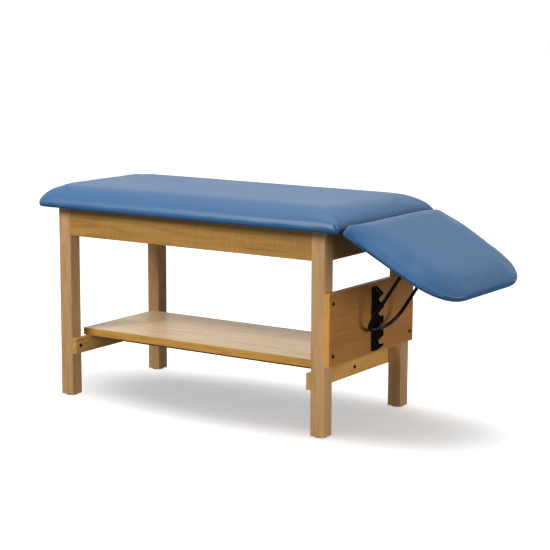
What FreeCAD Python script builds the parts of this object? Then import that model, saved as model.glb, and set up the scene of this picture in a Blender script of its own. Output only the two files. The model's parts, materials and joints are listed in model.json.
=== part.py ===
import FreeCAD, Part
import math
import os
from FreeCAD import Placement, Rotation, Vector

# Treatment table with a storage shelf and a head section that drops on a ratchet.
# Millimetres. +Z is up, +X points to the head, +Y to the far side, and the floor is z = 0.
# Everything is drawn about the middle of the leg frame and moved at the end, so that the
# origin lies on the floor under the middle of the table's outline.

# Leg frame
frame_length = 1179.0
frame_width = 596.0
deck_height = 726.0
leg_side = 55.0
leg_round = 3.0
rail_height = 108.0
rail_thickness = 20.0
rail_setback = 1.5
stretcher_height = 60.0
stretcher_thickness = 19.0
stretcher_bottom = 165.0
stretcher_setback = 2.0
edge_ease = 1.2

# Glides under the legs
glide_thickness = 4.0
glide_radius = 23.0
glide_rim = 1.0

# Corner blocks
block_height = 60.0
block_thickness = 25.0
block_leg_gap = 6.0

# Shelf
shelf_end_inset = 42.5
shelf_leg_gap = 29.5
shelf_thickness = 27.0
band_thickness = 2.0

# End panel between the head legs
panel_thickness = 18.0
panel_height = 258.0
panel_setback = 2.5
panel_bolt_inset = 37.0

# Padded boards
board_thickness = 18.0
pad_wrap = 12.0
foot_overhang = 100.5
hinge_line_overhang = 85.5
split_gap = 6.0
main_side_overhang = 45.0
main_thickness = 68.0
main_lip = 27.0
main_foot_corner = 66.0
main_split_corner = 26.0
main_foot_slope = 62.0
main_side_slope = 104.0
main_split_slope = 108.0
head_length = 441.0
head_split_inset = 2.0
head_end_inset = 19.0
head_thickness = 50.0
head_lip = 18.0
head_end_corner = 148.0
head_split_corner = 14.0
head_end_slope = 66.0
head_side_slope = 104.0
head_split_slope = 84.0
pad_under_round = 8.0
pad_side_bow = 2.5
pad_end_bow = 1.5
pad_corner_floor = 4.0

# Heights up the lip with the inset there, both as shares of the lip and of the under-round
lip_shares = ((0.0, 1.0), (0.3, 0.0), (1.0, 0.3))
# Inset and height of the crown above the lip, as shares of the slope and of the rise
crown_shares = ((0.12, 0.24), (0.34, 0.51), (0.64, 0.80), (1.0, 1.0))

# Butt hinges between the boards
hinge_pin_radius = 3.0
hinge_bore_play = 0.1
hinge_knuckle_radius = 5.5
hinge_leaf_thickness = 2.5
hinge_leaf_width = 44.0
hinge_length = 90.0
hinge_knuckles = 3
hinge_knuckle_gap = 0.3
hinge_side_place = 205.0

# Prop bail and its ears
rod_radius = 6.35
pivot_reach = 172.2
prop_half_width = 106.0
prop_foot_bend = 72.0
prop_pivot_bend = 16.0
prop_stub = 31.0
pivot_drop = 14.5
ear_thickness = 4.0
ear_play = 0.3
ear_side_gap = 2.0
ear_round = 12.5
ear_base_length = 42.0
ear_base_width = 36.0
ear_base_thickness = 3.0

# Ratchet on the end panel
ratchet_height = 232.0
ratchet_below_panel_top = 15.0
ratchet_width = 24.0
ratchet_depth = 38.0
ratchet_plate = 3.0
ratchet_bend = 2.2
ratchet_end_cut_depth = 26.0
ratchet_end_cut_height = 21.0
ratchet_back_round = 6.0
notch_count = 4
notch_in_use = 3
notch_pitch = 50.8
notch_first_drop = 46.9
notch_reach = 25.5
notch_radius = 8.5
notch_lip_drop = 5.0
notch_lip_angle = 300.0
notch_throat_angle = 135.0

# Bolts
bolt_radius = 4.0
bolt_head_radius = 7.0
bolt_head_height = 4.0
panel_bolt_length = 50.0
stretcher_bolt_length = 52.0
brace_bolt_length = 70.0
hole_play = 0.2
seat_gap = 0.3
overrun = 5.0

# Places worked out from the sizes above
half_length = frame_length / 2
half_width = frame_width / 2
leg_inner_x = half_length - leg_side
leg_inner_y = half_width - leg_side
leg_middle_x = half_length - leg_side / 2
leg_middle_y = half_width - leg_side / 2
rail_bottom = deck_height - rail_height
rail_face_y = half_width - rail_setback - rail_thickness
rail_face_x = half_length - rail_setback - rail_thickness
stretcher_top = stretcher_bottom + stretcher_height
stretcher_middle = stretcher_bottom + stretcher_height / 2
stretcher_inner_x = leg_inner_x - stretcher_thickness
shelf_length = frame_length - 2 * shelf_end_inset
shelf_width = 2 * (leg_inner_y - shelf_leg_gap)
shelf_top = stretcher_top + shelf_thickness
panel_face = half_length + panel_thickness
panel_bottom = shelf_top
panel_top = panel_bottom + panel_height
hinge_x = half_length + hinge_line_overhang
hinge_z = deck_height - hinge_knuckle_radius
main_foot = -half_length - foot_overhang
main_split = hinge_x - split_gap / 2
head_split = hinge_x + split_gap / 2
head_end = head_split + head_length
board_top = deck_height + board_thickness
pivot_z = deck_height - pivot_drop
main_half_width = half_width + main_side_overhang
head_split_half_width = main_half_width - head_split_inset
head_end_half_width = main_half_width - head_end_inset

SIDES = (("near", -1), ("far", 1))
ENDS = (("foot", -1), ("head", 1))

parallel_share = 0.001
quarter_turn = 90
parts = {}


def box(x0, x1, y0, y1, z0, z1):
    """A box between the given limits on each axis."""
    return Part.makeBox(x1 - x0, y1 - y0, z1 - z0, Vector(x0, y0, z0))


def aim(shape, place, direction):
    """Turn a shape drawn along +Z to a direction and put its start at a place."""
    turned = shape.copy()
    turned.Placement = Placement(Vector(*place), Rotation(Vector(0, 0, 1), Vector(*direction)))
    return turned


def rod(radius, length, place, direction):
    """A round bar that starts at a place and runs in a direction."""
    return aim(Part.makeCylinder(radius, length), place, direction)


def group(shapes):
    """Several separate solids in one sub-part."""
    return Part.makeCompound(shapes)


def long_edges(shape, direction):
    """The straight edges of a shape that run in one direction."""
    axis = Vector(*direction)
    return [e for e in shape.Edges if e.tangentAt(e.FirstParameter).cross(axis).Length < parallel_share]


def eased(shape, direction):
    """A board with a small chamfer on its long edges."""
    return shape.makeChamfer(edge_ease, long_edges(shape, direction))


def point_on(centre, radius, degrees):
    """A point on a circle, as a pair."""
    turn = math.radians(degrees)
    return (centre[0] + radius * math.cos(turn), centre[1] + radius * math.sin(turn))


# Bolts and their holes

def bolt(length, place, direction):
    """A bolt with a low round head on the surface and its shank in the wood."""
    head = Part.makeCylinder(bolt_head_radius, bolt_head_height, Vector(0, 0, -bolt_head_height))
    whole = head.fuse(Part.makeCylinder(bolt_radius, length)).removeSplitter()
    return aim(whole, place, direction)


def bolt_hole(length, place, direction):
    """The hole for a shank, a little wider and longer than the shank."""
    start = [p - overrun * d for p, d in zip(place, direction)]
    return rod(bolt_radius + hole_play, length + overrun + hole_play, start, direction)


# Leg frame

def leg_bolt_holes(end, side):
    """Holes that the bolts of stretcher and panel need in one leg."""
    y = side * leg_middle_y
    start = (end * leg_inner_x, y, stretcher_middle)
    holes = [bolt_hole(stretcher_bolt_length - stretcher_thickness, start, (end, 0, 0))]
    if end > 0:
        length = panel_bolt_length - panel_thickness
        holes += [bolt_hole(length, (half_length, y, z), (-1, 0, 0)) for z in panel_bolt_heights()]
    return holes


def leg(end, side):
    """A square hardwood leg with eased edges, drilled for its bolts."""
    x0, x1 = sorted((end * leg_inner_x, end * half_length))
    y0, y1 = sorted((side * leg_inner_y, side * half_width))
    post = box(x0, x1, y0, y1, glide_thickness, deck_height)
    post = post.makeFillet(leg_round, long_edges(post, (0, 0, 1)))
    return post.cut(leg_bolt_holes(end, side))


def glide(end, side):
    """A plastic glide that spreads a little towards the leg."""
    return Part.makeCone(glide_radius - glide_rim, glide_radius, glide_thickness,
                         Vector(end * leg_middle_x, side * leg_middle_y, 0))


def side_rail(side):
    """A long rail between two legs, under the edge of the main board."""
    y0, y1 = sorted((side * rail_face_y, side * (half_width - rail_setback)))
    return eased(box(-leg_inner_x, leg_inner_x, y0, y1, rail_bottom, deck_height), (1, 0, 0))


def end_rail(end):
    """A short rail between the two legs of one end."""
    x0, x1 = sorted((end * rail_face_x, end * (half_length - rail_setback)))
    return eased(box(x0, x1, -leg_inner_y, leg_inner_y, rail_bottom, deck_height), (0, 1, 0))


def corner_block(end, side):
    """A wooden block glued across a corner of the frame, clear of the leg."""
    back = leg_inner_x + leg_inner_y - block_leg_gap * math.sqrt(2)
    front = back - block_thickness * math.sqrt(2)
    outline = [(back - rail_face_y, rail_face_y), (front - rail_face_y, rail_face_y),
               (rail_face_x, front - rail_face_x), (rail_face_x, back - rail_face_x)]
    points = [Vector(end * x, side * y, deck_height - block_height) for x, y in outline]
    return Part.Face(Part.makePolygon(points + points[:1])).extrude(Vector(0, 0, block_height))


# Stretchers, centre brace and shelf

def stretcher(end):
    """A cross stretcher on the inner faces of two legs, which carries the shelf."""
    x0, x1 = sorted((end * stretcher_inner_x, end * leg_inner_x))
    reach = half_width - stretcher_setback
    board = eased(box(x0, x1, -reach, reach, stretcher_bottom, stretcher_top), (0, 1, 0))
    holes = [bolt_hole(stretcher_thickness + overrun, (end * stretcher_inner_x, y, stretcher_middle), (end, 0, 0))
             for y in (-leg_middle_y, 0, leg_middle_y)]
    return board.cut(holes)


def centre_brace():
    """The long rail under the middle of the shelf, bolted between the stretchers."""
    half = stretcher_thickness / 2
    rail = eased(box(-stretcher_inner_x, stretcher_inner_x, -half, half, stretcher_bottom, stretcher_top), (1, 0, 0))
    length = brace_bolt_length - stretcher_thickness
    holes = [bolt_hole(length, (end * stretcher_inner_x, 0, stretcher_middle), (-end, 0, 0)) for _, end in ENDS]
    return rail.cut(holes)


def shelf_board():
    """The laminated shelf without its edge bands."""
    x = shelf_length / 2 - band_thickness
    y = shelf_width / 2 - band_thickness
    return box(-x, x, -y, y, stretcher_top, shelf_top)


def shelf_long_band(side):
    """The edge band on a long edge, which covers the ends of the short bands."""
    x = shelf_length / 2
    y0, y1 = sorted((side * shelf_width / 2, side * (shelf_width / 2 - band_thickness)))
    return box(-x, x, y0, y1, stretcher_top, shelf_top)


def shelf_short_band(end):
    """The edge band on a short edge, between the long bands."""
    y = shelf_width / 2 - band_thickness
    x0, x1 = sorted((end * shelf_length / 2, end * (shelf_length / 2 - band_thickness)))
    return box(x0, x1, -y, y, stretcher_top, shelf_top)


# End panel

def panel_bolt_heights():
    """Heights of the two bolts in each head leg."""
    return (panel_bottom + panel_bolt_inset, panel_top - panel_bolt_inset)


def panel_bolt_places():
    """Places of the bolt heads on the panel's outer face."""
    return [(panel_face, side * leg_middle_y, z) for _, side in SIDES for z in panel_bolt_heights()]


def end_panel():
    """The laminated panel across the head legs, without its edge bands."""
    y = half_width - panel_setback - band_thickness
    board = box(half_length, panel_face, -y, y, panel_bottom + band_thickness, panel_top - band_thickness)
    return board.cut([bolt_hole(panel_thickness + overrun, p, (-1, 0, 0)) for p in panel_bolt_places()])


def panel_upright_band(side):
    """The edge band on an upright edge of the panel, over its whole height."""
    y0, y1 = sorted((side * (half_width - panel_setback), side * (half_width - panel_setback - band_thickness)))
    return box(half_length, panel_face, y0, y1, panel_bottom, panel_top)


def panel_level_band(low):
    """The edge band on the upper or lower edge of the panel."""
    y = half_width - panel_setback - band_thickness
    return box(half_length, panel_face, -y, y, low, low + band_thickness)


# Ratchet

def notch_height(number):
    """Height of the crossbar's axis in a notch, counted from the top."""
    return panel_top - ratchet_below_panel_top - notch_first_drop - notch_pitch * (number - 1)


def seat_shift():
    """How far the middle of a notch's pocket lies from the seated crossbar, along the thrust."""
    slack = notch_radius - rod_radius - seat_gap
    return slack * math.cos(prop_angle), slack * math.sin(prop_angle)


def notch_middle(number):
    """Middle of a notch's round pocket, as distance from the panel and height."""
    shift = seat_shift()
    return notch_reach + shift[0], notch_height(number) + shift[1]


def flange_outline():
    """Outline of a toothed flange in the plane y = 0, from the lower back corner round to it again."""
    low = panel_top - ratchet_below_panel_top - ratchet_height
    high = panel_top - ratchet_below_panel_top
    edges = []
    pen = [(0, low)]

    def line(x, z):
        edges.append(Part.LineSegment(flange_point(*pen[-1]), flange_point(x, z)))
        pen.append((x, z))

    def arc(middle, end):
        edges.append(Part.Arc(flange_point(*pen[-1]), flange_point(*middle), flange_point(*end)))
        pen.append(end)

    line(ratchet_depth - ratchet_end_cut_depth, low)
    line(ratchet_depth, low + ratchet_end_cut_height)
    for number in range(notch_count, 0, -1):
        middle = notch_middle(number)
        lip = point_on(middle, notch_radius, notch_lip_angle)
        throat = point_on(middle, notch_radius, notch_throat_angle)
        half_way = point_on(middle, notch_radius, (notch_lip_angle + notch_throat_angle) / 2)
        line(ratchet_depth, middle[1] - notch_lip_drop)
        line(*lip)
        arc(half_way, throat)
        line(ratchet_depth, throat[1] + (ratchet_depth - throat[0]))
    line(ratchet_depth - ratchet_end_cut_depth, high)
    line(0, high)
    line(0, low)
    return Part.Wire([edge.toShape() for edge in edges])


def flange_point(reach, z):
    """A point of the flange at a distance from the panel's face."""
    return Vector(panel_face + reach, 0, z)


def ratchet():
    """A channel bent from one plate: a web on the panel and two toothed flanges."""
    low = panel_top - ratchet_below_panel_top - ratchet_height
    high = panel_top - ratchet_below_panel_top
    half = ratchet_width / 2
    web = box(panel_face, panel_face + ratchet_plate, -half, half, low, high)
    flange = Part.Face(flange_outline()).extrude(Vector(0, ratchet_plate, 0))
    pieces = []
    for y in (-half, half - ratchet_plate):
        piece = flange.copy()
        piece.translate(Vector(0, y, 0))
        pieces.append(piece)
    channel = web.fuse(pieces).removeSplitter()
    back = [e for e in channel.Edges if is_upright(e) and abs(e.BoundBox.XMin - panel_face) < seat_gap]
    return channel.makeFillet(ratchet_bend, back)


def is_upright(edge):
    """True for an edge that runs along Z over most of the ratchet."""
    span = edge.BoundBox
    return span.ZLength > ratchet_height / 2 and span.XLength < seat_gap and span.YLength < seat_gap


# Linkage: the top notch holds the head section level, and the notch in use sets its drop

column_x = panel_face + notch_reach
prop_length = math.hypot(hinge_x + pivot_reach - column_x, pivot_z - notch_height(1))


def drop_angle(number):
    """Drop of the head section, in degrees, with the crossbar in a notch."""
    to_pivot = math.hypot(pivot_reach, hinge_z - pivot_z)
    run = column_x - hinge_x
    fall = notch_height(number) - hinge_z
    to_notch = math.hypot(run, fall)
    spread = math.acos((to_pivot ** 2 + to_notch ** 2 - prop_length ** 2) / (2 * to_pivot * to_notch))
    pivot_direction = math.atan2(fall, run) + spread
    return -math.degrees(pivot_direction) - math.degrees(math.atan2(hinge_z - pivot_z, pivot_reach))


def dropped(x, z, degrees):
    """Where a point of the level head section is after it drops about the hinge line."""
    turn = math.radians(degrees)
    dx, dz = x - hinge_x, z - hinge_z
    return hinge_x + dx * math.cos(turn) + dz * math.sin(turn), hinge_z - dx * math.sin(turn) + dz * math.cos(turn)


rest_drop = drop_angle(notch_in_use)
pivot_x = hinge_x + pivot_reach
pivot_rest = dropped(pivot_x, pivot_z, rest_drop)
prop_angle = math.atan2(pivot_rest[1] - notch_height(notch_in_use), pivot_rest[0] - column_x)


def drop_section(shape):
    """Turn a piece of the head section from level to its drop at rest."""
    turned = shape.copy()
    turned.rotate(Vector(hinge_x, 0, hinge_z), Vector(0, 1, 0), rest_drop)
    return turned


# Padded boards

def plan_outline(x0, x1, half0, half1, corner0, corner1, bow_side, bow_end, z):
    """A four-sided outline with round corners and sides that draw in between them."""
    corners = [(x0, -half0, corner0), (x1, -half1, corner1), (x1, half1, corner1), (x0, half0, corner0)]
    bows = [bow_side, bow_end, bow_side, bow_end]
    starts, middles, ends = [], [], []
    for i, (x, y, radius) in enumerate(corners):
        before = toward(corners[i], corners[i - 1])
        after = toward(corners[i], corners[(i + 1) % 4])
        opening = math.acos(before[0] * after[0] + before[1] * after[1])
        setback = radius / math.tan(opening / 2)
        depth = radius / math.sin(opening / 2) - radius
        bisector = (before[0] + after[0], before[1] + after[1])
        scale = depth / math.hypot(*bisector)
        starts.append((x + before[0] * setback, y + before[1] * setback))
        ends.append((x + after[0] * setback, y + after[1] * setback))
        middles.append((x + bisector[0] * scale, y + bisector[1] * scale))
    edges = []
    for i in range(4):
        here = [Vector(*p, z) for p in (starts[i], middles[i], ends[i])]
        edges.append(Part.Arc(*here).toShape())
        finish = Vector(*starts[(i + 1) % 4], z)
        run = finish.sub(here[2])
        if bows[i]:
            inward = Vector(0, 0, 1).cross(run).normalize() * bows[i]
            edges.append(Part.Arc(here[2], here[2].add(run * middle_share).add(inward), finish).toShape())
        else:
            edges.append(Part.LineSegment(here[2], finish).toShape())
    return Part.Wire(edges)


middle_share = 0.5


def toward(start, finish):
    """Unit direction from one corner to the next."""
    dx, dy = finish[0] - start[0], finish[1] - start[1]
    length = math.hypot(dx, dy)
    return dx / length, dy / length


def pad_sections(split, end, half_split, half_end, corner_split, corner_end, slopes, lip, thickness):
    """Outlines of a pad from its underside to its crown. Slopes are for the split, end and sides."""
    direction = 1 if end > split else -1
    levels = [(share * lip, inset * pad_under_round, (0, 0, 0)) for share, inset in lip_shares]
    lip_inset = lip_shares[-1][1] * pad_under_round
    for inset, rise in crown_shares:
        reach = [inset * slope for slope in slopes]
        levels.append((lip + rise * (thickness - lip), lip_inset, reach))
    wires = []
    for height, inset, reach in levels:
        x_split = split + direction * (inset + reach[0])
        x_end = end - direction * (inset + reach[1])
        side = inset + reach[2]
        near_corner = max(corner_split - inset, pad_corner_floor) + reach[2] * corner_growth_share
        far_corner = max(corner_end - inset - reach[1] * corner_growth_share, pad_corner_floor)
        first = (x_split, half_split - side, near_corner)
        last = (x_end, half_end - side, far_corner)
        if direction < 0:
            first, last = last, first
        bows = (0, 0) if any(reach) else (pad_side_bow, pad_end_bow)
        wires.append(plan_outline(first[0], last[0], first[1], last[1], first[2], last[2], *bows, deck_height + height))
    return wires


corner_growth_share = 0.3


def pad(sections, board):
    """The upholstered pad: foam and cover over the board, with the cover down past its edge."""
    return Part.makeLoft(sections, True, True).cut(board)


def board(split, end, half_split, half_end, corner_split, corner_end, margin, low_extra, top):
    """A plywood board inside a pad, or with a margin the pocket that it fills."""
    direction = 1 if end > split else -1
    x_split = split + direction * (pad_wrap - margin)
    x_end = end - direction * (pad_wrap - margin)
    first = (x_split, half_split - pad_wrap + margin, max(corner_split - pad_wrap, pad_corner_floor))
    last = (x_end, half_end - pad_wrap + margin, max(corner_end - pad_wrap, pad_corner_floor))
    if direction < 0:
        first, last = last, first
    outline = plan_outline(first[0], last[0], first[1], last[1], first[2], last[2], pad_side_bow, pad_end_bow,
                           deck_height - low_extra)
    return Part.Face(outline).extrude(Vector(0, 0, top - deck_height + low_extra))


MAIN = (main_split, main_foot, main_half_width, main_half_width, main_split_corner, main_foot_corner)
HEAD = (head_split, head_end, head_split_half_width, head_end_half_width, head_split_corner, head_end_corner)


def main_board():
    """The plywood board of the fixed section."""
    return board(*MAIN, 0, 0, board_top)


def head_board():
    """The plywood board of the head section, level."""
    return board(*HEAD, 0, 0, board_top)


def main_cushion():
    """The pad of the fixed section, crowned, with its edges pulled down to the board."""
    slopes = (main_split_slope, main_foot_slope, main_side_slope)
    pocket = board(*MAIN, seat_gap, overrun, board_top)
    return pad(pad_sections(*MAIN, slopes, main_lip, main_thickness), pocket)


def head_cushion():
    """The pad of the head section, level, tapering to large round corners."""
    slopes = (head_split_slope, head_end_slope, head_side_slope)
    pocket = board(*HEAD, seat_gap, overrun, board_top)
    return pad(pad_sections(*HEAD, slopes, head_lip, head_thickness), pocket)


# Hinges

def hinge_leaf(end, side):
    """A leaf under a board with its share of the knuckles, bored for the pin."""
    middle = side * hinge_side_place
    y0 = middle - hinge_length / 2
    inner = hinge_x + end * (hinge_knuckle_radius + hinge_knuckle_gap)
    x0, x1 = sorted((inner, hinge_x + end * (hinge_knuckle_radius + hinge_leaf_width)))
    plate = box(x0, x1, y0, y0 + hinge_length, deck_height - hinge_leaf_thickness, deck_height)
    step = hinge_length / hinge_knuckles
    rolls = []
    for i in range(hinge_knuckles):
        if (i % 2 == 0) == (end < 0):
            low = y0 + i * step + hinge_knuckle_gap / 2
            length = step - hinge_knuckle_gap
            rolls.append(rod(hinge_knuckle_radius, length, (hinge_x, low, hinge_z), (0, 1, 0)))
            xs = sorted((hinge_x, inner))
            rolls.append(box(xs[0], xs[1], low, low + length, deck_height - hinge_leaf_thickness, deck_height))
    leaf = plate.fuse(rolls).removeSplitter()
    bore = rod(hinge_pin_radius + hinge_bore_play, hinge_length + overrun * 2, (hinge_x, y0 - overrun, hinge_z), (0, 1, 0))
    return leaf.cut(bore)


def hinge_pin(side):
    """A plain pin through all the knuckles of one hinge."""
    low = side * hinge_side_place - hinge_length / 2
    return rod(hinge_pin_radius, hinge_length, (hinge_x, low, hinge_z), (0, 1, 0))


# Prop bail and ears

def ear_inner():
    """Distance from the middle plane to the inner face of an ear."""
    return prop_half_width + prop_pivot_bend + ear_side_gap


def pivot_ear(side):
    """An angle bracket on the head board, bored for the bail's stub. Drawn level."""
    y0, y1 = sorted((side * ear_inner(), side * (ear_inner() + ear_thickness)))
    b0, b1 = sorted((side * ear_inner(), side * (ear_inner() + ear_base_width)))
    half = ear_base_length / 2
    base = box(pivot_x - half, pivot_x + half, b0, b1, deck_height - ear_base_thickness, deck_height)
    lean = math.degrees(math.acos(ear_round / math.hypot(half, pivot_drop)))
    corner = math.degrees(math.atan2(pivot_drop, half))
    right = point_on((pivot_x, pivot_z), ear_round, corner - lean)
    left = (pivot_x * 2 - right[0], right[1])
    points = [(pivot_x - half, deck_height), left, (pivot_x, pivot_z - ear_round), right, (pivot_x + half, deck_height)]
    corners = [Vector(x, y0, z) for x, z in points]
    outline = [Part.LineSegment(corners[0], corners[1]), Part.Arc(corners[1], corners[2], corners[3]),
               Part.LineSegment(corners[3], corners[4]), Part.LineSegment(corners[4], corners[0])]
    cheek = Part.Face(Part.Wire([edge.toShape() for edge in outline])).extrude(Vector(0, y1 - y0, 0))
    ear = base.fuse(cheek).removeSplitter()
    bore = rod(rod_radius + ear_play, ear_thickness + overrun * 2, (pivot_x, y0 - overrun, pivot_z), (0, 1, 0))
    return ear.cut(bore)


def prop_point(along, y):
    """A point of the bail's plane, by its distance from the crossbar and from the middle."""
    x = column_x + along * math.cos(prop_angle)
    z = notch_height(notch_in_use) + along * math.sin(prop_angle)
    return Vector(x, y, z)


def prop_bend(along, y, centre_y, side):
    """A quarter bend that starts across the leg at a point and turns about a centre beside it."""
    leg_direction = prop_point(1, 0).sub(prop_point(0, 0))
    disc = Part.Face(Part.Wire(Part.makeCircle(rod_radius, prop_point(along, y), leg_direction)))
    axis = leg_direction.cross(Vector(0, side, 0))
    return disc.revolve(prop_point(along, centre_y), axis, quarter_turn)


def prop_bail():
    """A bent rod: two legs, a crossbar between wide bends, and stubs turned out at the pivots."""
    turn_out = prop_half_width + prop_pivot_bend
    leg_top = prop_length - prop_pivot_bend
    bar_end = prop_half_width - prop_foot_bend
    leg_direction = prop_point(1, 0).sub(prop_point(0, 0))
    pieces = [rod(rod_radius, bar_end * 2, prop_point(0, -bar_end), (0, 1, 0))]
    for _, side in SIDES:
        leg_start = prop_point(prop_foot_bend, side * prop_half_width)
        pieces.append(prop_bend(prop_foot_bend, side * prop_half_width, side * bar_end, side))
        pieces.append(rod(rod_radius, leg_top - prop_foot_bend, leg_start, leg_direction))
        pieces.append(prop_bend(leg_top, side * prop_half_width, side * turn_out, side))
        stub = prop_stub - prop_pivot_bend
        pieces.append(rod(rod_radius, stub, prop_point(prop_length, side * turn_out), (0, side, 0)))
    return pieces[0].fuse(pieces[1:]).removeSplitter()


# Assembly

def build_frame():
    """Legs, rails, corner blocks, stretchers, shelf, panel and ratchet."""
    for end_name, end in ENDS:
        for side_name, side in SIDES:
            corner = end_name + "_" + side_name
            parts["leg_" + corner] = leg(end, side)
            parts["corner_block_" + corner] = corner_block(end, side)
        parts["end_rail_" + end_name] = end_rail(end)
        parts["stretcher_" + end_name] = stretcher(end)
        parts["shelf_band_" + end_name] = shelf_short_band(end)
    for side_name, side in SIDES:
        parts["side_rail_" + side_name] = side_rail(side)
        parts["shelf_band_" + side_name] = shelf_long_band(side)
        parts["panel_band_" + side_name] = panel_upright_band(side)
    parts["centre_brace"] = centre_brace()
    parts["shelf_board"] = shelf_board()
    parts["end_panel"] = end_panel()
    parts["panel_band_top"] = panel_level_band(panel_top - band_thickness)
    parts["panel_band_bottom"] = panel_level_band(panel_bottom)
    parts["ratchet"] = ratchet()


def build_bolts():
    """Glides and bolts of the fixed frame, one sub-part for each kind."""
    corners = [(end, side) for _, end in ENDS for _, side in SIDES]
    parts["leg_glides"] = group([glide(end, side) for end, side in corners])
    parts["panel_bolts"] = group([bolt(panel_bolt_length, p, (-1, 0, 0)) for p in panel_bolt_places()])
    parts["stretcher_bolts"] = group([
        bolt(stretcher_bolt_length, (end * stretcher_inner_x, side * leg_middle_y, stretcher_middle), (end, 0, 0))
        for end, side in corners])
    parts["brace_bolts"] = group([
        bolt(brace_bolt_length, (end * leg_inner_x, 0, stretcher_middle), (-end, 0, 0)) for _, end in ENDS])


def build_sections():
    """Padded boards, hinges, ears and bail."""
    parts["main_board"] = main_board()
    parts["main_cushion"] = main_cushion()
    parts["head_board"] = drop_section(head_board())
    parts["head_cushion"] = drop_section(head_cushion())
    for side_name, side in SIDES:
        parts["hinge_leaf_main_" + side_name] = hinge_leaf(-1, side)
        parts["hinge_leaf_head_" + side_name] = drop_section(hinge_leaf(1, side))
        parts["hinge_pin_" + side_name] = hinge_pin(side)
        parts["pivot_ear_" + side_name] = drop_section(pivot_ear(side))
    parts["prop_bail"] = prop_bail()


os.makedirs("parts", exist_ok=True)
build_frame()
build_bolts()
build_sections()

outline_low = parts["main_cushion"].optimalBoundingBox(True, False).XMin
outline_high = parts["head_cushion"].optimalBoundingBox(True, False).XMax
shift = -(outline_low + outline_high) / 2

for name, shape in parts.items():
    shape.translate(Vector(shift, 0, 0))
    shape.exportStep("parts/" + name + ".step")

print("sub-parts", len(parts))
print("drop in each notch, degrees", [round(drop_angle(n), 3) for n in range(1, notch_count + 1)])
print("drop at rest, degrees", round(rest_drop, 4), "bail from level, degrees", round(math.degrees(prop_angle), 4))
print("shift", round(shift, 4))
print("hinge line x, z", round(hinge_x + shift, 4), round(hinge_z, 4))
print("bail pivot x, z", round(pivot_rest[0] + shift, 4), round(pivot_rest[1], 4))
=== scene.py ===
import json
import math
from dataclasses import dataclass

import bmesh
import bpy
import numpy as np
from mathutils import Matrix, Vector
from mathutils.bvhtree import BVHTree


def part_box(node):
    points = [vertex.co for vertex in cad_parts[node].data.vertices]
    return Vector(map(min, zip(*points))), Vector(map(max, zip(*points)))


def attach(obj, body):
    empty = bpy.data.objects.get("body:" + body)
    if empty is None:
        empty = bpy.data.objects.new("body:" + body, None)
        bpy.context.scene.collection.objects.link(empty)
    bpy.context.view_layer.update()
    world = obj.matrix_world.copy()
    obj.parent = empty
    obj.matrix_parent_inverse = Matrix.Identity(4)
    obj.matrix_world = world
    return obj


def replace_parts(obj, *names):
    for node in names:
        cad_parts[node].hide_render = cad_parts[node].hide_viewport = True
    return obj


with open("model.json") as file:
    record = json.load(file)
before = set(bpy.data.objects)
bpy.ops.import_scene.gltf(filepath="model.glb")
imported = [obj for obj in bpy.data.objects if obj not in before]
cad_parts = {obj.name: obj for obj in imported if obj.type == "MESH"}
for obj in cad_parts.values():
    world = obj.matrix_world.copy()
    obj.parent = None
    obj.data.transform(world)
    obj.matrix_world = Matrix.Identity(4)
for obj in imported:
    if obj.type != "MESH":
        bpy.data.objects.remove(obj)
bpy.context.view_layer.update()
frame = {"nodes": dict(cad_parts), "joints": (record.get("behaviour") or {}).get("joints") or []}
NODES = frame["nodes"]
JOINTS = {joint["name"]: joint for joint in frame["joints"]}

bl_info = {
    "name": "Treatment table",
    "version": (1, 0, 0),
    "blender": (4, 5, 0),
    "location": "View3D > Sidebar > Treatment Table",
    "description": "Dresses a treatment table: upholstery, wood, steel and hardware",
    "category": "Object",
}

MM = 0.001
ROOT, HEAD, PROP = "table_frame", "head_section", "prop"
HINGE = Vector(JOINTS["head_tilt"]["pos_m"])
DROP = math.radians(-JOINTS["head_tilt"]["range_deg"][0])
PIVOT = Vector(JOINTS["prop_swing"]["pos_m"])
# Turns the head section from level to where it hangs at rest
SEATED = Matrix.Translation(HINGE) @ Matrix.Rotation(DROP, 4, "Y") @ Matrix.Translation(-HINGE)
# Height of both boards' undersides
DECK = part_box("main_board")[0].z
# Height that the foam's crown gains over the solid's
CROWN = 7 * MM
# Distance of each hinge from the middle of the table's width
HINGE_REACH = 205 * MM
DOWN = Vector((0, 0, -1))


def linear(code):
    """An sRGB hex colour as linear RGBA."""
    values = [int(code[i:i + 2], 16) / 255 for i in (1, 3, 5)]
    return [v / 12.92 if v <= 0.04045 else ((v + 0.055) / 1.055) ** 2.4 for v in values] + [1.0]


def srgb(code):
    """An sRGB hex colour as the linear triple that a colour property holds."""
    return tuple(linear(code)[:3])


# Settings

class UpholsterySettings(bpy.types.PropertyGroup):
    """Sizes and colour of the padded sections."""
    vinyl: bpy.props.FloatVectorProperty(
        name="Vinyl", description="Colour of the upholstery vinyl", subtype="COLOR", size=3,
        default=srgb("#2b5a85"))
    grain: bpy.props.FloatProperty(
        name="Grain", description="Width of one cell of the vinyl's grain", default=1.6 * MM, unit="LENGTH")
    swell: bpy.props.FloatProperty(
        name="Swell", description="Furthest that the foam pushes the cover out", default=2.5 * MM,
        unit="LENGTH")
    pleat_depth: bpy.props.FloatProperty(
        name="Pleat depth", description="Depth of the folds at the corners", default=2.4 * MM, unit="LENGTH")
    hem_width: bpy.props.FloatProperty(
        name="Hem", description="Width of the cover turned under the board", default=34 * MM, unit="LENGTH")
    staple_spacing: bpy.props.FloatProperty(
        name="Staple spacing", description="Distance between staples in the hem", default=28 * MM,
        unit="LENGTH")


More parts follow.
